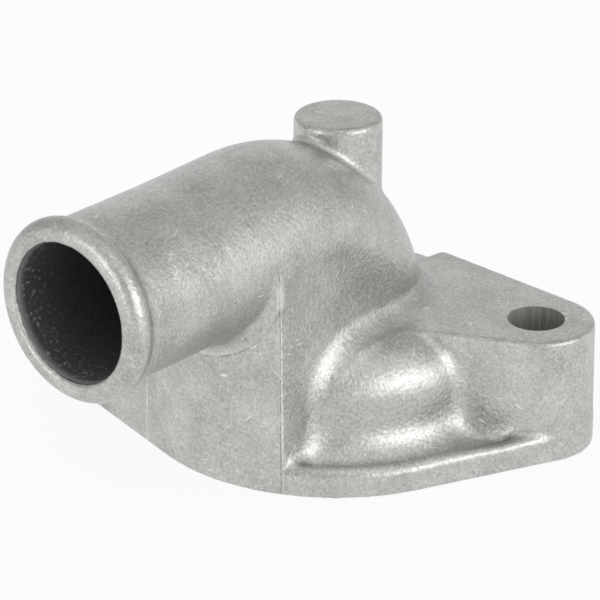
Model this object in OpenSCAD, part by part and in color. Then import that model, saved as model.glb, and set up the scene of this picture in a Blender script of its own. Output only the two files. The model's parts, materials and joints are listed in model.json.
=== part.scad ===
// Coolant outlet housing, one bare aluminium casting.
// A domed round chamber stands on a flange with two bolt lugs. An elbow rises from the chamber,
// turns through a right angle and ends in a beaded hose spigot. A skirt fills the space under the
// spigot, and a plain round boss stands on the elbow.
// Frame: origin at the flange centre on the gasket face, +Z up, spigot towards -Y. Millimetres.

/* [Flange] */
// Radius of the round flange
flange_r = 39.2; // [38:0.1:41]
// Height of the flange rim
rim_h = 6; // [5:0.1:8]
// Width of the lip along the rim
lip_w = 2.4; // [1.6:0.1:3]
// Depth of the channel between the lip and the chamber
channel_d = 1.8; // [0.8:0.1:2.4]
// Size of the round along the outer edge of the lip
lip_round = 2.2; // [1:0.1:2.4]

/* [Bolt lugs] */
// Diameter of the bolt circle
bolt_pcd = 81; // [80:0.5:84]
// Direction of the right lug, in degrees from +X
bolt_angle = 21.8; // [20:0.1:24]
// Diameter of the bolt holes
bolt_d = 11; // [8:0.5:12]
// End radius of the right lug at its foot
lug_r = 11.7; // [11:0.1:13]
// End radius of the left lug at its foot
left_lug_r = 15; // [13:0.1:16]
// Height of the lugs and of the chamber roof
lug_h = 25.2; // [24:0.1:27]
// Draft of the lug walls, in degrees
lug_draft = 1; // [0.5:0.1:1.5]
// Direction of the front wall of the right lug, in degrees from +X
lug_front_angle = 26; // [24:0.5:28]
// Position of the left wall of the right lug along X
lug_left_x = 3.7; // [2:0.1:6]
// Position of the rear corner of the right lug along Y
lug_rear_y = 28.5; // [27:0.1:30]
// Radius of that corner
lug_corner_r = 1.5; // [1:0.1:3]

/* [Chamber] */
// Outside radius of the chamber
drum_r = 31.3; // [30.5:0.1:32]
// Wall thickness of the chamber
drum_wall = 4; // [3:0.1:5]
// Outside radius of the shoulder between the chamber wall and its roof
shoulder_r = 10; // [8:0.1:12]
// Radius of the blend from the chamber wall to the channel
foot_r = 6.2; // [4:0.1:7]
// Diameter of the seat recess in the gasket face
seat_d = 60; // [58:0.5:62]
// Depth of the seat recess
seat_depth = 4; // [2:0.1:5]

/* [Elbow] */
// Height of the spigot axis over the gasket face
axis_h = 45.5; // [44:0.1:48]
// Bend radius of the elbow on its centre line
bend_r = 27.4; // [26:0.1:29]
// Outside radius of the elbow
elbow_r = 16.5; // [16.3:0.1:17]
// Position of the foot of the elbow along Y
heel_y = 1.2; // [0:0.1:2]
// Diameter of the passage through elbow and spigot
passage_d = 26.2; // [22:0.1:27]
// Size of the blend between the elbow and the chamber roof
heel_blend = 4.5; // [3:0.1:5]
// Size of the blend between the skirt and the chamber wall
side_blend = 2.6; // [2:0.1:4]
// Size of the blend between the right lug and the channel floor
floor_blend = 2.1; // [1.5:0.1:3]

/* [Skirt] */
// Half width of the skirt at the gasket face
skirt_foot = 17.4; // [17:0.1:18]
// Amount by which the skirt ends inside the elbow's side
skirt_tuck = 0.15; // [0.1:0.05:0.3]
// Radius of the flare at the foot of the skirt's sides
flare_r = 5; // [3:0.1:6]
// Size of the blend between the spigot and the front of the skirt
skirt_blend = 4; // [2:0.1:4.5]

/* [Hose spigot] */
// Distance of the spigot mouth from the flange centre
mouth_y = 72.9; // [65:0.1:85]
// Outside diameter of the hose seat
hose_d = 32; // [31:0.1:32.4]
// Length of the straight hose seat
hose_len = 26; // [20:0.5:28]
// Crest radius of the bead
bead_r = 17.4; // [16.8:0.1:18]
// Roundness of the bead, as the radius of its section
bead_round = 2.6; // [2:0.1:3]
// Width of the flat on the mouth outside the centre of the bead's section
mouth_flat = 0.4; // [0.2:0.1:0.8]

/* [Boss] */
// Diameter of the boss at its top
boss_d = 17; // [14:0.1:18]
// Height of the boss top over the gasket face
boss_h = 61.6; // [60:0.1:65]
// Position of the boss along Y
boss_y = 0.6; // [-1:0.1:2]
// Chamfer at the top of the boss
boss_edge = 0.6; // [0.3:0.1:1]
// Size of the blend round the foot of the boss
boss_blend = 2; // [1:0.1:2.5]

/* [Hidden] */
$fn = 96;
// Overlap of neighbouring forms, and depth by which a blend sinks into them
lap = 1;
sink = 0.12;
steps = 5;
// Amount by which the lugs and webs stay inside the flange outline
hair = 0.01;

floor_h = rim_h - channel_d;
bolt_r = bolt_pcd / 2;
right_bolt = bolt_r * [cos(bolt_angle), sin(bolt_angle)];
left_bolt = -right_bolt;
slope = tan(lug_draft);
front_n = [sin(lug_front_angle), -cos(lug_front_angle)];
front_t = [cos(lug_front_angle), sin(lug_front_angle)];
root_r = 8;
bend_y = heel_y - bend_r;
bend_z = axis_h - bend_r;
hose_r = hose_d / 2;
boss_r = boss_d / 2;
skirt_top = elbow_r - skirt_tuck;
skirt_slope = (skirt_foot - skirt_top) / axis_h;

function unit(v) = v / norm(v);
// Half width of the skirt at height z
function skirt_x(z) = skirt_foot - z * skirt_slope;
// Distance of the right lug's front wall from the origin at height z
function front_off(z) = right_bolt * front_n + lug_r - z * slope;
// Direction of the normal of the web that runs tangent to the flange and a lug end
function web_angle(at, r) = acos((flange_r - r) / norm(at));

// Blend bodies: a section is laid at each station [corner, normal 1, normal 2, size] and follows
// a round arc from one surface to the other, with its ends sunk into both
function arc(a, b, c, s) =
    let (k = 0.55, p = a + k * (c - a), q = b + k * (c - b), t = 1 - s)
    t * t * t * a + 3 * t * t * s * p + 3 * t * s * s * q + s * s * s * b;
function section(st) =
    let (c = st[0], n1 = st[1], n2 = st[2], f = st[3], d = n1 * n2,
         a = c + f * unit(n2 - d * n1) - sink * n1,
         b = c + f * unit(n1 - d * n2) - sink * n2,
         o = c - sink * (n1 + n2) / (1 + d))
    concat([for (i = [0 : steps]) arc(a, b, o, i / steps)], [c - lap * (n1 + n2) / (1 + d)]);

module blend(stations, closed = false) {
    rings = [for (st = stations) section(st)];
    n = len(rings);
    m = len(rings[0]);
    last = closed ? n - 1 : n - 2;
    sides = [for (i = [0 : last], j = [0 : m - 1], h = [0, 1])
        let (i2 = (i + 1) % n, j2 = (j + 1) % m)
        h == 0 ? [i * m + j, i2 * m + j, i * m + j2] : [i * m + j2, i2 * m + j, i2 * m + j2]];
    caps = closed ? [] : [[for (j = [0 : m - 1]) j], [for (j = [m - 1 : -1 : 0]) (n - 1) * m + j]];
    polyhedron([for (r = rings, p = r) p], concat(sides, caps));
}

// Height of the straight chamber wall over the channel floor
drum_h = lug_h - shoulder_r - floor_h;
// Outside of the chamber as [radius, height, normal out, normal up], from foot to roof
drum_line = concat(
    [for (z = [floor_h - lap, floor_h + lap, floor_h + 0.45 * drum_h, floor_h + 0.7 * drum_h]) [drum_r, z, 1, 0]],
    [for (a = [0 : 10 : 90]) [drum_r - shoulder_r * (1 - cos(a)), lug_h - shoulder_r * (1 - sin(a)),
                             cos(a), sin(a)]]);
roof_y = -sqrt(pow(drum_r - shoulder_r, 2) - pow(skirt_x(lug_h), 2));

// Stations along the right side of the skirt, up over the shoulder and back to the elbow
side_stations = concat(
    [for (p = drum_line)
        let (x = skirt_x(p[1]), y = -sqrt(p[0] * p[0] - x * x), up = p[3])
        [[x, y, p[1]], unit([1, 0, skirt_slope]), [p[2] * x / p[0], p[2] * y / p[0], up],
         side_blend + (heel_blend - side_blend) * up]],
    [for (i = [1 : 4])
        [[skirt_x(lug_h), roof_y * (1 - i / 4) - i / 4, lug_h], unit([1, 0, skirt_slope]), [0, 0, 1],
         heel_blend]]);
// Stations round the heel of the elbow, from its right side to its left
heel_stations = [for (a = [15 : 15 : 165])
    let (x = elbow_r * cos(a), w = bend_r + elbow_r * sin(a), dz = lug_h - bend_z,
         dy = sqrt(w * w - dz * dz))
    [[x, bend_y + dy, lug_h], [cos(a), sin(a) * dy / w, sin(a) * dz / w], [0, 0, 1], heel_blend]];
left_side = [for (i = [len(side_stations) - 1 : -1 : 0])
    let (s = side_stations[i])
    [for (v = s) is_num(v) ? v : [-v[0], v[1], v[2]]]];

// Stations under the spigot, where it meets the round front of the skirt
spigot_foot_r = hose_r + (elbow_r - hose_r)
    * max(0, (mouth_y - flange_r - hose_len) / (mouth_y + bend_y - hose_len));
front_stations = [for (a = [-175 : 10 : -5])
    let (x = spigot_foot_r * cos(a), y = -sqrt(flange_r * flange_r - x * x))
    [[x, y, axis_h + spigot_foot_r * sin(a)], [cos(a), 0, sin(a)], [x, y, 0] / flange_r,
     min(skirt_blend, 0.8 * (skirt_top - abs(x)))]];

// Stations round the foot of the boss on the elbow
boss_stations = [for (a = [0 : 15 : 345])
    let (x = boss_r * cos(a), y = boss_y + boss_r * sin(a), w = sqrt(elbow_r * elbow_r - x * x),
         d = bend_r + w, dz = sqrt(d * d - pow(y - bend_y, 2)))
    [[x, y, bend_z + dz], [cos(a), sin(a), 0],
     [x / elbow_r, (y - bend_y) / d * w / elbow_r, dz / d * w / elbow_r], boss_blend]];

// Stations where the front wall of the right lug meets the chamber, from the shoulder down
lug_line = [for (i = [len(drum_line) - 1 : -1 : 0]) if (lug_h - drum_line[i][1] > 0.05 * shoulder_r)
    drum_line[i]];
lug_stations = [for (p = lug_line)
    let (off = front_off(p[1]), s = sqrt(p[0] * p[0] - off * off), at = off * front_n + s * front_t)
    [[at[0], at[1], p[1]], unit([front_n[0], front_n[1], slope]),
     [p[2] * at[0] / p[0], p[2] * at[1] / p[0], p[3]],
     lug_h - p[1] < 0.12 * shoulder_r ? sink : min(side_blend, 0.9 * (lug_h - p[1]))]];

// Stations along the channel floor at the front wall of the right lug. The blend narrows towards
// the lip and ends inside it
lug_floor = [for (k = [[sqrt(pow(drum_r - lap, 2) - pow(front_off(floor_h), 2)), floor_blend],
                       [right_bolt * front_t, 0.7 * channel_d]])
    let (at = front_off(floor_h) * front_n + k[0] * front_t)
    [[at[0], at[1], floor_h], unit([front_n[0], front_n[1], slope]), [0, 0, 1], k[1]]];

// Stations along the outer edge of the lip, where the blend body is cut away: in front from the skirt
// to the right lug, and behind from the right lug to the left one. The round fades out at the lugs
function rim_station(at, r, a, size = lip_round) =
    [[at[0] + r * cos(a), at[1] + r * sin(a), rim_h], -[cos(a), sin(a), 0], [0, 0, -1], size];
function rim_end(at, r, a, turn) = [rim_station(at, r, a, 0.6 * lip_round), rim_station(at, r, a + turn, sink)];
fade_angle = 15;
skirt_a = -acos((skirt_foot - 2 * lap) / flange_r);
right_web = web_angle(right_bolt, lug_r);
left_web = web_angle(left_bolt, left_lug_r);
front_edge = concat(
    [for (i = [0 : 8]) rim_station([0, 0], flange_r, skirt_a + (bolt_angle - right_web - skirt_a) * i / 8)],
    rim_end(right_bolt, lug_r, bolt_angle - right_web, fade_angle));
rear_end = rim_end(right_bolt, lug_r, bolt_angle + right_web, -fade_angle);
rear_edge = concat(
    [rear_end[1], rear_end[0]],
    [for (i = [0 : 14])
        rim_station([0, 0], flange_r, bolt_angle + right_web + (180 - left_web - right_web) * i / 14)],
    rim_end(left_bolt, left_lug_r, bolt_angle + 180 - left_web, fade_angle));

// Flange outline, moved in by the given amount: the round and two lug ends with tangent webs
module outline(inset = 0) {
    r = flange_r - inset;
    circle(r);
    for (lug = [[right_bolt, lug_r], [left_bolt, left_lug_r]]) {
        at = lug[0];
        e = lug[1] - inset;
        base = atan2(at[1], at[0]);
        turn = web_angle(at, lug[1]);
        translate(at) circle(e);
        // The webs run a hair inside the tangent
        polygon([for (k = [0 : 3])
            let (a = base + turn * (k == 0 || k == 3 ? 1 : -1), d = [cos(a), sin(a)])
            (k < 2 ? [0, 0] : at) + (k < 2 ? r - 2 * hair : e - 2 * hair) * d]);
    }
}

module flange() {
    difference() {
        linear_extrude(rim_h) outline();
        translate([0, 0, floor_h]) linear_extrude(rim_h) outline(lip_w);
        blend(front_edge);
        blend(rear_edge);
    }
}

// Round of one chamber surface: wall, shoulder and roof
module drum_section(r, round_r, h) {
    square([r - round_r, h]);
    square([r, h - round_r]);
    translate([r - round_r, h - round_r]) circle(round_r);
}

module drum() {
    rotate_extrude() {
        intersection() {
            drum_section(drum_r, shoulder_r, lug_h);
            square([drum_r + lap, lug_h + lap]);
        }
        translate([drum_r - lap, 0])
            difference() {
                square([foot_r + lap, floor_h + foot_r]);
                translate([foot_r + lap, floor_h + foot_r]) circle(foot_r);
            }
    }
}

module lug_post(at, r) {
    translate(at) cylinder(h = lug_h, r1 = r, r2 = r - lug_h * slope, $fn = 64);
}

module right_lug() {
    root_x = lug_left_x + root_r - lug_h * slope;
    hull() {
        lug_post(right_bolt, lug_r - 3 * hair);
        lug_post([lug_left_x + lug_corner_r, lug_rear_y - lug_corner_r], lug_corner_r + lug_h * slope);
        lug_post([root_x, (root_x * front_n[0] + root_r - front_off(0)) / -front_n[1]], root_r - 3 * hair);
    }
}

module left_lug() {
    a = bolt_angle + 180 + web_angle(left_bolt, left_lug_r);
    hull() {
        lug_post(left_bolt, left_lug_r - 5 * hair);
        lug_post((flange_r - root_r) * [cos(a), sin(a)], root_r - 5 * hair);
        lug_post([-lug_left_x - root_r, 0], root_r);
    }
}

// Fill between the spigot and the flange, its front flush with the flange
module skirt() {
    intersection() {
        rotate([90, 0, 0])
            linear_extrude(flange_r + lap, center = false)
                polygon([[-skirt_foot, 0], [skirt_foot, 0], [skirt_top, axis_h], [-skirt_top, axis_h]]);
        cylinder(h = axis_h + lap, r = flange_r);
        rotate([90, 0, 90])
            linear_extrude(4 * elbow_r, center = true) {
                translate([-flange_r - lap, 0]) square([flange_r + lap + bend_y, axis_h]);
                translate([bend_y - lap, 0]) square([bend_r + lap, bend_z]);
                translate([bend_y, bend_z]) circle(bend_r);
            }
    }
}

// Flares at the foot of the skirt's sides, inside the lip's outer edge
module flare() {
    foot_x = skirt_x(floor_h);
    intersection() {
        rotate([90, 0, 0])
            linear_extrude(flange_r)
                difference() {
                    translate([-foot_x - flare_r, 0]) square([2 * (foot_x + flare_r), floor_h + flare_r]);
                    for (side = [-1, 1])
                        translate([side * (foot_x + flare_r - sink), floor_h + flare_r - sink]) circle(flare_r);
                }
        cylinder(h = axis_h, r = flange_r - lip_w / 2);
    }
}

// Quarter ring round the bend, of the given radius
module bend(r) {
    translate([0, bend_y, bend_z])
        rotate([0, -90, 0])
            rotate_extrude(angle = 90) translate([bend_r, 0]) circle(r);
}

// Turned outside of the spigot, from the mouth back to the bend, with a tip that runs into the bend
module spigot() {
    len = mouth_y + bend_y;
    translate([0, -mouth_y, axis_h])
        rotate([-90, 0, 0])
            rotate_extrude() {
                square([bead_r - bead_round + mouth_flat, bead_round]);
                translate([bead_r - bead_round, bead_round]) circle(bead_round);
                polygon([[0, bead_round], [hose_r, bead_round], [hose_r, hose_len],
                         [elbow_r, len], [elbow_r - lap, len + lap], [0, len + lap]]);
            }
}

module boss() {
    translate([0, boss_y, 0])
        rotate_extrude()
            polygon([[0, bend_z + bend_r], [boss_r, bend_z + bend_r - boss_r], [boss_r, boss_h - boss_edge],
                     [boss_r - boss_edge, boss_h], [0, boss_h]]);
}

// Inside: seat recess, chamber, passage and bolt holes
module hollows() {
    bore_r = passage_d / 2;
    bore_len = mouth_y + bend_y + lap;
    riser_z = min(bend_z, lug_h - drum_wall) - 2 * lap;
    translate([0, 0, -lap]) cylinder(h = seat_depth + lap, d = seat_d);
    rotate_extrude()
        intersection() {
            drum_section(drum_r - drum_wall, shoulder_r - drum_wall, lug_h - drum_wall);
            square([drum_r, lug_h]);
        }
    bend(bore_r);
    // Riser from the chamber, for an elbow that starts above the chamber roof
    translate([0, heel_y, riser_z])
        rotate_extrude()
            polygon([[0, 0], [bore_r, 0], [bore_r, bend_z - riser_z], [bore_r - lap, bend_z - riser_z + lap],
                     [0, bend_z - riser_z + lap]]);
    translate([0, -mouth_y - lap, axis_h])
        rotate([-90, 0, 0])
            rotate_extrude()
                polygon([[0, 0], [bore_r, 0], [bore_r, bore_len], [bore_r - lap, bore_len + lap], [0, bore_len + lap]]);
    for (at = [right_bolt, left_bolt])
        translate([at[0], at[1], -lap]) cylinder(h = lug_h + 2 * lap, d = bolt_d);
}

module housing() {
    color("silver")
        difference() {
            union() {
                flange();
                drum();
                right_lug();
                left_lug();
                skirt();
                flare();
                bend(elbow_r);
                spigot();
                boss();
                blend(concat(side_stations, heel_stations, left_side));
                blend(front_stations);
                blend(boss_stations, closed = true);
                blend(lug_stations);
                blend(lug_floor);
            }
            hollows();
        }
}

housing();
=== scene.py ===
import json
import math

import bpy
import numpy as np
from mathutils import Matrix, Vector


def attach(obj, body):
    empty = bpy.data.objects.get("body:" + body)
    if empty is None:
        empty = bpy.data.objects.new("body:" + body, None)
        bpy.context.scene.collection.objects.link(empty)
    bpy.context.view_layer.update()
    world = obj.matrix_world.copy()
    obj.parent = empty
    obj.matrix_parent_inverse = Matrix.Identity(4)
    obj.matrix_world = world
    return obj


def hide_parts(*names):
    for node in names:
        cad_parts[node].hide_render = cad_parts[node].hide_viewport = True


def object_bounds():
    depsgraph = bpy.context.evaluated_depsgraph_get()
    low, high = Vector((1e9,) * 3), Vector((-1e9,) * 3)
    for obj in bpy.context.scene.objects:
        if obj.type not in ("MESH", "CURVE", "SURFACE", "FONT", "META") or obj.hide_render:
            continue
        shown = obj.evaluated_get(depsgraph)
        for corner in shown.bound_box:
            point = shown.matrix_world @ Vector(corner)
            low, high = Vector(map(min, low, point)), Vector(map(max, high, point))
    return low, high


# Coolant outlet housing: one satin aluminium casting on white paper, seen from its right front.
# Sizes are in millimetres, and MM turns them to metres

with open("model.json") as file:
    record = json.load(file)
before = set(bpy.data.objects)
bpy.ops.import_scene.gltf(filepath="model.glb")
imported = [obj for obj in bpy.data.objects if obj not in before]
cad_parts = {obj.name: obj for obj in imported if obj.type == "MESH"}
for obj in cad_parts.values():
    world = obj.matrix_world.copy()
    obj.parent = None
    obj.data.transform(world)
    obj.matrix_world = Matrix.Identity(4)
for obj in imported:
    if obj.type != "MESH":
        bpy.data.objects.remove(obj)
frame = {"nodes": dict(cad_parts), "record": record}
cad_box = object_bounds()
MM = 0.001
scene = bpy.context.scene
scene.view_settings.view_transform = "Standard"

# Sizes that the record states
mounts = {mount["name"]: mount for mount in frame["record"]["mounts"]}
BOLT_R = mounts["bolts"]["dims"]["pcd_mm"] / 2
HOLE_R = mounts["bolts"]["dims"]["hole_r_mm"]
SEAT_DEPTH = mounts["seat_recess"]["dims"]["length_mm"]
CHAMBER_R = mounts["chamber_bore"]["dims"]["r_mm"]
PASSAGE_R = mounts["outlet_bore"]["dims"]["r_mm"]
AXIS_H = mounts["outlet_bore"]["pos_m"][2] / MM
MOUTH_Y = cad_box[0][1] / MM

# Bolt lugs, the hollow chamber and the bend of the passage
LUG_H = 25.2
BOLT_ANGLE = 21.8
CHAMBER_H = 21.2
BEND_R = 27.4
BEND_Y = -26.2
BEND_Z = AXIS_H - BEND_R

# Skirt under the spigot: half its width at the foot and at the spigot's axis, its round front with its
# draft, the round crescent under the spigot that carries a painted highlight and painted shade, and the seam
# on its left
SKIRT_FOOT = 17.4
SKIRT_TOP = 16.35
FRONT_R = 39.28
FRONT_DRAFT = 0.0247
CRESCENT_R = 17.5
CRESCENT_Z = 43.3
LEFT_SEAM = 16.86

# Half widths of the lines on the skirt, the step from the seam to the painted shade line beside it, and the
# size of the breaks in them
SEAM_HALF = 0.2
LEFT_SEAM_HALF = 0.22
SHADE_HALF = 0.16
CRESCENT_SHADE_HALF = 0.34
SHADE_STEP = 0.28
BREAK = 1.2

# Easing of the casting: grid of the new mesh, fill of inside corners, rounding of edges, the most triangles,
# and the angle in degrees past which an edge stays sharp
VOXEL = 0.33
CORNER_FILL = 0.8
EDGE_ROUND = 0.3
TRIANGLES = 190000
SHARP_ANGLE = 50

# Bolt holes: how far a plug reaches past the wall, how much shorter than the lug it is, and how much longer
# the drill is
PLUG_MARGIN = 1
PLUG_SHORT = 0.1
DRILL_EXTRA = 4

# Places of wide mould blends: the inner end of the channel beside the right lug, the foot of the chamber,
# and the corner between that and the skirt
CHANNEL_END = (37.5, 1.8, 5.8)
CHAMBER_FOOT_R = 32.2
CHAMBER_FOOT_Z = 7.8
CHAMBER_FOOT_TURNS = range(36, 96, 3)
SKIRT_CORNER = (17.6, -27.2, 8.0)


def linear(hex_colour):
    """Linear colour of an sRGB hex value."""
    parts = [int(hex_colour[i:i + 2], 16) / 255 for i in (1, 3, 5)]
    return [p / 12.92 if p <= 0.04045 else ((p + 0.055) / 1.055) ** 2.4 for p in parts] + [1]


def toward(azimuth, elevation):
    """Direction from the part, with the azimuth counted from the spigot's mouth to the right."""
    a, e = math.radians(azimuth), math.radians(elevation)
    return Vector((math.sin(a) * math.cos(e), -math.cos(a) * math.cos(e), math.sin(e)))


def per_mm(size):
    """Texture scale that makes features of about a size in mm."""
    return 1 / (size * MM)


def only(obj):
    """Leaves one object selected and active."""
    bpy.ops.object.select_all(action="DESELECT")
    obj.select_set(True)
    bpy.context.view_layer.objects.active = obj


def apply(obj, kind, **settings):
    """Adds a modifier and applies it."""
    only(obj)
    modifier = obj.modifiers.new(kind.lower(), kind)
    for name, value in settings.items():
        setattr(modifier, name, value)
    bpy.ops.object.modifier_apply(modifier=modifier.name)


def node(tree, kind, inputs=(), **settings):
    """Adds a node with its settings, links or sets its inputs, and gives its outputs."""
    added = tree.nodes.new("ShaderNode" + kind)
    for name, value in settings.items():
        setattr(added, name, value)
    for name, value in inputs.items() if isinstance(inputs, dict) else enumerate(inputs):
        if isinstance(value, bpy.types.NodeSocket):
            tree.links.new(value, added.inputs[name])
        else:
            added.inputs[name].default_value = value
    return added.outputs


def new_material(name):
    """Empty material and its node tree."""
    material = bpy.data.materials.new(name)
    material.use_nodes = True
    material.node_tree.nodes.clear()
    return material, material.node_tree


def combined(tree, operation, masks):
    """One mask from several, as their product or their maximum."""
    whole = masks[0]
    for mask in masks[1:]:
        whole = node(tree, "Math", [whole, mask], operation=operation)[0]
    return whole


def within(tree, limits):
    """Mask that is 1 where each value has passed from its first limit to its second."""
    return combined(tree, "MULTIPLY", [node(tree, "MapRange", limit)[0] for limit in limits])


def line(tree, distance, half_width):
    """Mask of a soft line where a distance is near 0."""
    away = node(tree, "Math", [distance], operation="ABSOLUTE")[0]
    core = 0.3 * half_width
    return within(tree, [(away, half_width, core)])


def layered(tree, base, layers):
    """Base colour with other colours laid over it, each by its mask and strength."""
    colour = linear(base)
    for mask, strength, tint in layers:
        share = node(tree, "Math", [mask, strength], operation="MULTIPLY")[0]
        colour = node(tree, "Mix", {0: share, 6: colour, 7: linear(tint)}, data_type="RGBA")[2]
    return colour


def metal_surface(tree, colour, relief, depth, strength, metallic, roughness):
    """Joins a colour and a relief of a depth in mm into the surface of a metal."""
    bump = node(tree, "Bump", {"Height": relief, "Distance": depth * MM, "Strength": strength})[0]
    surface = node(tree, "BsdfPrincipled", {
        "Base Color": colour, "Normal": bump, "Metallic": metallic, "Roughness": roughness})[0]
    node(tree, "OutputMaterial", {"Surface": surface})


def scattered_marks(tree, place, length, width, share, turn):
    """Straight marks of a length and width in mm, in the given share of the cells of a loose grid."""
    # A mark is a thin disc, so a wall at any angle cuts it as a line. Its edge and core are parts of a cell
    spacing = 2.5
    edge, core = 0.22, 0.1
    turned = node(tree, "Mapping", {"Vector": place, "Rotation": turn})[0]
    cell = [per_mm(spacing * size) for size in (length, length, width)]
    sized = node(tree, "Mapping", {"Vector": turned, "Scale": cell})[0]
    cells = node(tree, "TexVoronoi", {"Vector": sized, "Scale": 1.0})
    chance = node(tree, "SeparateColor", [cells["Color"]])[0]
    drawn = node(tree, "Math", [chance, share], operation="LESS_THAN")[0]
    return combined(tree, "MULTIPLY", [drawn, within(tree, [(cells["Distance"], edge, core)])])


def skirt_marks(tree, place):
    """Masks on the skirt: its seam lines, the near one with a painted edge highlight, the painted highlight
    of the crescent under the spigot, and painted shade lines.
    """
    spot = node(tree, "VectorMath", {0: place, "Scale": 1 / MM}, operation="SCALE")[0]
    x, y, z = node(tree, "SeparateXYZ", [spot])
    # Distance outside the round front, and to the right of its near edge
    level = node(tree, "VectorMath", [spot, (1, 1, 0)], operation="MULTIPLY")[0]
    radius = node(tree, "VectorMath", [level], operation="LENGTH")["Value"]
    drafted = node(tree, "Math", [z, FRONT_DRAFT, radius], operation="MULTIPLY_ADD")[0]
    out = node(tree, "Math", [drafted, FRONT_R], operation="SUBTRACT")[0]
    lean = (SKIRT_FOOT - SKIRT_TOP) / AXIS_H
    leaning = node(tree, "Math", [z, lean, x], operation="MULTIPLY_ADD")[0]
    right = node(tree, "Math", [leaning, SKIRT_FOOT], operation="SUBTRACT")[0]
    # The lines are broken up, as flash is when it's rubbed off
    rubbing = node(tree, "TexNoise", {"Vector": place, "Scale": per_mm(BREAK), "Detail": 2.0})[0]
    broken = node(tree, "MapRange", [rubbing, 0.38, 0.58, 0.1, 1.0])[0]
    # Seam of the mould halves up the near edge, fainter at its foot: white as flash and as a painted
    # highlight of the edge, with a painted shade line beside it
    outward = node(tree, "Math", [right, out], operation="ADD")[0]
    around = node(tree, "Math", [right, out], operation="SUBTRACT")[0]
    beside = node(tree, "Math", [around, SHADE_STEP], operation="ADD")[0]
    edge = within(tree, [(outward, -1.1, -0.8), (y, -36.6, -36.2), (y, -29, -30), (z, 45, 44.6)])
    fading = node(tree, "MapRange", [z, 9, 11, 0.3, 1.0])[0]
    seam = combined(tree, "MULTIPLY", [edge, broken, line(tree, around, SEAM_HALF), fading])
    shade = combined(tree, "MULTIPLY", [edge, broken, line(tree, beside, SHADE_HALF)])
    # Round crescent under the spigot, a painted highlight where its foot curves into the skirt, with a
    # broken line of painted shade along its edge
    upright = node(tree, "VectorMath", [spot, (1, 0, 1)], operation="MULTIPLY")[0]
    reach = node(tree, "VectorMath", [upright, (0, 0, CRESCENT_Z)], operation="DISTANCE")["Value"]
    ring = node(tree, "Math", [reach, CRESCENT_R], operation="SUBTRACT")[0]
    front = within(tree, [(out, -1.2, -0.8), (out, 0.9, 0.5), (y, -33, -34), (z, 45, 42)])
    crescent_highlight = combined(tree, "MULTIPLY", [front, within(tree, [(ring, 0.05, -0.15)])])
    rim = combined(tree, "MULTIPLY", [front, broken, line(tree, ring, CRESCENT_SHADE_HALF)])
    # Fainter seam on the left, where the slide met the other mould half
    left = node(tree, "Math", [x, LEFT_SEAM], operation="ADD")[0]
    faint = combined(tree, "MULTIPLY", [front, broken, line(tree, left, LEFT_SEAM_HALF), 0.9])
    seams_and_edge_highlight = combined(tree, "MAXIMUM", [seam, faint])
    return seams_and_edge_highlight, crescent_highlight, combined(tree, "MAXIMUM", [shade, rim])


# Tumbled cast aluminium: a satin metal with a fine peened grain, cloudy patches, bright nicks and
# scratches from the tumbling media, and a few dark pits
# Size in mm of each pattern, with the detail and roughness of its noise. The real peening is finer than a
# pixel, so it is drawn as coarse as it needs to show
CLOUD = (9, 3.0, 0.7)
SPECKLE = (0.55, 2.0, 0.7)
PEENING = (0.8, 3.0, 0.5)
MARK_PATCH = (8, 2.0, 0.5)
PIT = (0.9, 1.0, 0.5)
# Length, width and share of the marks, and the ways they are turned
SCRATCH = (2.2, 0.24, 0.13)
TICK = (0.8, 0.22, 0.14)
TURNS = [(0.4, 0.3, 0.9), (-0.7, 0.6, -0.5), (0.2, -1.0, 0.3), (1.2, 0.2, 1.9)]


def cast_aluminium():
    material, tree = new_material("tumbled_cast_aluminium")
    place = node(tree, "TexCoord")["Object"]
    clouds, speckle, peening, gathering, pitting = [
        node(tree, "TexNoise", {
            "Vector": place, "Scale": per_mm(size), "Detail": detail, "Roughness": roughness})[0]
        for size, detail, roughness in (CLOUD, SPECKLE, PEENING, MARK_PATCH, PIT)]
    # The marks gather in patches
    patches = node(tree, "MapRange", [gathering, 0.42, 0.62, 0.35, 1.0])[0]
    scratches = [scattered_marks(tree, place, *SCRATCH, turn) for turn in TURNS]
    ticks = [scattered_marks(tree, place, *TICK, turn[::-1]) for turn in TURNS]
    scratches = combined(tree, "MULTIPLY", [combined(tree, "MAXIMUM", scratches), patches])
    ticks = combined(tree, "MULTIPLY", [combined(tree, "MAXIMUM", ticks), patches])
    seams_and_edge_highlight, crescent_highlight, painted_shade_lines = skirt_marks(tree, place)
    colour = layered(tree, "#a8a8a5", [
        (within(tree, [(clouds, 0.2, 0.8)]), 1.0, "#d2d2cf"),
        (within(tree, [(speckle, 0.5, 0.75)]), 0.42, "#eeeeec"),
        (within(tree, [(speckle, 0.5, 0.25)]), 0.42, "#84847f"),
        (ticks, 0.45, "#f2f2f0"),
        (scratches, 0.7, "#fafaf8"),
        (within(tree, [(pitting, 0.74, 0.79)]), 0.6, "#62625f"),
        # Painted highlight on the crescent under the spigot
        (crescent_highlight, 0.65, "#e2e2de"),
        # Painted shade lines beside the seam and along the crescent
        (painted_shade_lines, 0.65, "#5c5c59"),
        # Seams: flash, with a painted highlight along the near edge
        (seams_and_edge_highlight, 0.8, "#ffffff"),
    ])
    metal_surface(tree, colour, peening, depth=0.12, strength=1.0, metallic=1.0, roughness=0.37)
    return material


# Drilled aluminium: the wall of a bolt hole, scored from top to bottom by the drill's chips
SCORE = 0.5


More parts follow.
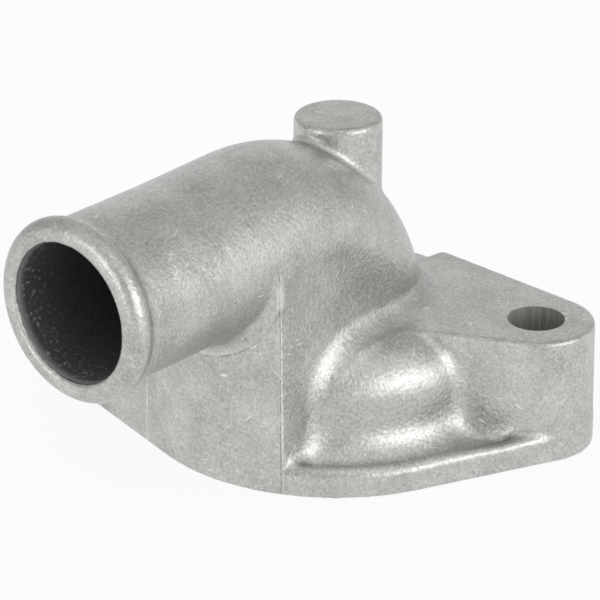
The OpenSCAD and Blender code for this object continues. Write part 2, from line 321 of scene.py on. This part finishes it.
def drilled_wall():
    material, tree = new_material("drilled_aluminium")
    place = node(tree, "TexCoord")["Object"]
    upright = node(tree, "Mapping", {"Vector": place, "Rotation": (0, math.pi / 2, 0)})[0]
    cell = [per_mm(size) for size in (16 * SCORE, SCORE, SCORE)]
    drawn_out = node(tree, "Mapping", {"Vector": upright, "Scale": cell})[0]
    streaks = node(tree, "TexNoise", {"Vector": drawn_out, "Scale": 1.0, "Detail": 2.0, "Roughness": 0.6})[0]
    colour = layered(tree, "#8a8a86", [(within(tree, [(streaks, 0.3, 0.7)]), 1.0, "#b8b8b4")])
    metal_surface(tree, colour, streaks, depth=0.05, strength=0.6, metallic=0.4, roughness=0.5)
    return material


# Cast skin in the passage and chamber, coloured dark and dull
SKIN_GRAIN = 0.8


def cast_skin():
    material, tree = new_material("dark_cast_skin")
    place = node(tree, "TexCoord")["Object"]
    scale = per_mm(SKIN_GRAIN)
    grain = node(tree, "TexNoise", {"Vector": place, "Scale": scale, "Detail": 3.0})[0]
    coarse = node(tree, "TexNoise", {"Vector": place, "Scale": scale, "Detail": 1.0})[0]
    # Just inside the mouth a painted highlight lightens the skin, with painted glints on grains further in
    # that fade deeper inside
    y = node(tree, "SeparateXYZ", [place])["Y"]
    depth = node(tree, "Math", [y, MOUTH_Y * MM], operation="SUBTRACT")[0]
    mouth_edge_highlight = node(tree, "MapRange", [depth, 0.6 * MM, 2.6 * MM, 0.8, 0.0])[0]
    fading = node(tree, "MapRange", [depth, 1 * MM, 10 * MM, 0.8, 0.03])[0]
    grain_glints = combined(tree, "MULTIPLY", [within(tree, [(coarse, 0.6, 0.68)]), fading])
    bright = combined(tree, "MAXIMUM", [mouth_edge_highlight, grain_glints])
    colour = layered(tree, "#555553", [(grain, 1.0, "#7c7c79"), (bright, 1.0, "#d8d8d5")])
    metal_surface(tree, colour, grain, depth=0.08, strength=0.4, metallic=0.6, roughness=0.6)
    return material


def join(objects):
    """Joins objects into the first one."""
    only(objects[0])
    for obj in objects:
        obj.select_set(True)
    bpy.ops.object.join()


def bolt_cylinders(radius, height):
    """One mesh with an upright cylinder on each bolt axis, centred on the height of the lugs."""
    made = []
    for turn in (BOLT_ANGLE, BOLT_ANGLE + 180):
        a = math.radians(turn)
        bpy.ops.mesh.primitive_cylinder_add(vertices=96, radius=radius * MM, depth=height * MM, location=(
            BOLT_R * math.cos(a) * MM, BOLT_R * math.sin(a) * MM, LUG_H / 2 * MM))
        made.append(bpy.context.active_object)
    join(made)
    return made[0]


def vertex_places(mesh):
    """Place of each vertex, in metres."""
    places = np.empty(len(mesh.vertices) * 3)
    mesh.vertices.foreach_get("co", places)
    return places.reshape(-1, 3)


def soften(obj, path, reach, rounds):
    """Smooths the mesh near points in mm, and less towards the end of the reach, as a wide mould blend."""
    places = vertex_places(obj.data) / MM
    far = np.min([np.linalg.norm(places - point, axis=1) for point in path], axis=0) / reach
    group = obj.vertex_groups.new(name="soft")
    for i in np.flatnonzero(far < 1):
        group.add([int(i)], (1 - far[i] ** 2) ** 2, "REPLACE")
    apply(obj, "SMOOTH", vertex_group=group.name, factor=0.5, iterations=rounds)
    obj.vertex_groups.clear()


def level_gasket_face(mesh):
    """Levels the underside, as a machine cut does."""
    unevenness = 0.06 * MM
    places = vertex_places(mesh)
    places[np.abs(places[:, 2]) < unevenness, 2] = 0
    mesh.vertices.foreach_set("co", places.ravel())


# The casting: the solid with its inside corners filled and its edges eased, as the mould leaves them,
# and the bolt holes drilled after that with sharp edges
def make_casting():
    solid = frame["nodes"]["housing"]
    casting = solid.copy()
    casting.data = solid.data.copy()
    casting.name = casting.data.name = "casting"
    for key in list(casting.keys()):
        del casting[key]
    casting.parent = None
    scene.collection.objects.link(casting)
    only(casting)
    bpy.ops.object.mode_set(mode="EDIT")
    bpy.ops.mesh.select_all(action="SELECT")
    bpy.ops.mesh.remove_doubles(threshold=0.001 * MM)
    bpy.ops.object.mode_set(mode="OBJECT")
    # Plugs keep the rims of the bolt holes from being eased
    join([casting, bolt_cylinders(HOLE_R + PLUG_MARGIN, LUG_H - PLUG_SHORT)])
    apply(casting, "REMESH", mode="VOXEL", voxel_size=VOXEL * MM)
    # Out and back in fills the corners, in and back out eases the edges
    for step in (CORNER_FILL, -CORNER_FILL - EDGE_ROUND, EDGE_ROUND):
        apply(casting, "DISPLACE", strength=step * MM, mid_level=0)
        apply(casting, "REMESH", mode="VOXEL", voxel_size=VOXEL * MM)
    apply(casting, "SMOOTH", factor=0.5, iterations=6)
    soften(casting, [CHANNEL_END], reach=8, rounds=260)
    foot_z = Vector((0, 0, CHAMBER_FOOT_Z))
    foot = [toward(turn, 0) * CHAMBER_FOOT_R + foot_z for turn in CHAMBER_FOOT_TURNS]
    soften(casting, foot, reach=5.2, rounds=240)
    soften(casting, [SKIRT_CORNER], reach=5.5, rounds=200)
    level_gasket_face(casting.data)
    triangles = sum(len(face.vertices) - 2 for face in casting.data.polygons)
    apply(casting, "DECIMATE", ratio=min(1, TRIANGLES / triangles))
    drill = bolt_cylinders(HOLE_R, LUG_H + DRILL_EXTRA)
    apply(casting, "BOOLEAN", operation="DIFFERENCE", object=drill, solver="EXACT")
    bpy.data.objects.remove(drill)
    only(casting)
    bpy.ops.object.shade_smooth_by_angle(angle=math.radians(SHARP_ANGLE))
    return casting


def finish_numbers(mesh):
    """Number of the finish of each face: 0 outside, 1 in the passage and chamber, 2 in the bolt holes."""
    centres = np.empty(len(mesh.polygons) * 3)
    mesh.polygons.foreach_get("center", centres)
    x, y, z = (centres.reshape(-1, 3) / MM).T
    # Room for the easing, for the rounded rim of the mouth and for the facets of a drilled hole
    ease = 0.35
    rim = 0.8
    facet = 0.05
    bore = (y < BEND_Y) & (y > MOUTH_Y + rim) & (np.hypot(x, z - AXIS_H) < PASSAGE_R + ease)
    from_bend = np.hypot(y - BEND_Y, z - BEND_Z) - BEND_R
    bend = (y >= BEND_Y) & (z >= BEND_Z) & (np.hypot(from_bend, x) < PASSAGE_R + ease)
    chamber = (z > SEAT_DEPTH + ease) & (z < CHAMBER_H + ease) & (np.hypot(x, y) < CHAMBER_R + ease)
    a = math.radians(BOLT_ANGLE)
    across = np.abs(y * math.cos(a) - x * math.sin(a))
    along = np.abs(x * math.cos(a) + y * math.sin(a)) - BOLT_R
    holes = np.hypot(across, along) < HOLE_R + facet
    return (bore | bend | chamber) + 2 * holes


casting = make_casting()
casting.data.materials.clear()
for material in (cast_aluminium(), cast_skin(), drilled_wall()):
    casting.data.materials.append(material)
casting.data.polygons.foreach_set("material_index", finish_numbers(casting.data).astype(np.int32))
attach(casting, "root")
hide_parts("housing")

# White paper: seen and mirrored as white, while a trace of the part's shadow stays
FLOOR_SIZE = 6000
FLOOR_DROP = 0.05
GLOW_SHARE = 0.9


def white_paper():
    material, tree = new_material("white_paper")
    paper = node(tree, "BsdfDiffuse", {"Color": linear("#f3f3f3")})[0]
    glow = node(tree, "Emission", {"Color": linear("#ffffff"), "Strength": 1.0})[0]
    path = node(tree, "LightPath")
    rays = [path[ray] for ray in ("Is Camera Ray", "Is Glossy Ray", "Is Transmission Ray")]
    share = combined(tree, "MULTIPLY", [combined(tree, "MAXIMUM", rays), GLOW_SHARE])
    surface = node(tree, "MixShader", [share, paper, glow])[0]
    node(tree, "OutputMaterial", {"Surface": surface})
    return material


bpy.ops.object.select_all(action="DESELECT")
bpy.ops.mesh.primitive_plane_add(size=FLOOR_SIZE * MM, location=(0, 0, -FLOOR_DROP * MM))
floor = bpy.context.active_object
floor.name = "floor"
floor.data.materials.append(white_paper())

# Studio: an even white room with soft lights on its walls. Each light has its azimuth, its elevation and
# the angle from its middle at which it has faded out, in degrees, and then its strength
ROOM = 0.59
LIGHT_CORE = 5
LIGHTS = [
    (90, 4, 37, 2.1),     # right
    (90, 50, 40, 0.45),   # above that
    (-10, 0, 31, 1.9),    # front
    (0, 60, 42, 0.2),     # above that
    (-139, 8, 42, 0.26),  # left rear
    (128, 4, 42, 0.3),    # right rear
]


def studio():
    world = bpy.data.worlds.new("studio")
    world.use_nodes = True
    tree = world.node_tree
    tree.nodes.clear()
    direction = node(tree, "TexCoord")["Generated"]
    level = ROOM
    for azimuth, elevation, spread, strength in LIGHTS:
        middle = toward(azimuth, elevation)
        facing = node(tree, "VectorMath", [direction, middle], operation="DOT_PRODUCT")["Value"]
        edge, core = (math.cos(math.radians(angle)) for angle in (spread, LIGHT_CORE))
        light = node(tree, "MapRange", [facing, edge, core, 0.0, strength],
                     interpolation_type="SMOOTHSTEP")[0]
        level = node(tree, "Math", [light, level], operation="ADD")[0]
    room = node(tree, "Background", {"Color": linear("#ffffff"), "Strength": level})[0]
    node(tree, "OutputWorld", {"Surface": room})
    return world


scene.world = studio()

# Camera at the photo's angle, with its long lens
TARGET = Vector((-20.23, 12.80, 12.21)) * MM
CAMERA_DISTANCE = 612.7
CAMERA_AZIMUTH = 41.06
CAMERA_ELEVATION = 24.9
camera = bpy.data.objects.new("camera", bpy.data.cameras.new("camera"))
scene.collection.objects.link(camera)
camera.data.sensor_width = 36
camera.data.lens = 180.6
camera.data.clip_start = 10 * MM
camera.location = TARGET + CAMERA_DISTANCE * MM * toward(CAMERA_AZIMUTH, CAMERA_ELEVATION)
camera.rotation_euler = (TARGET - camera.location).to_track_quat("-Z", "Y").to_euler()
scene.camera = camera
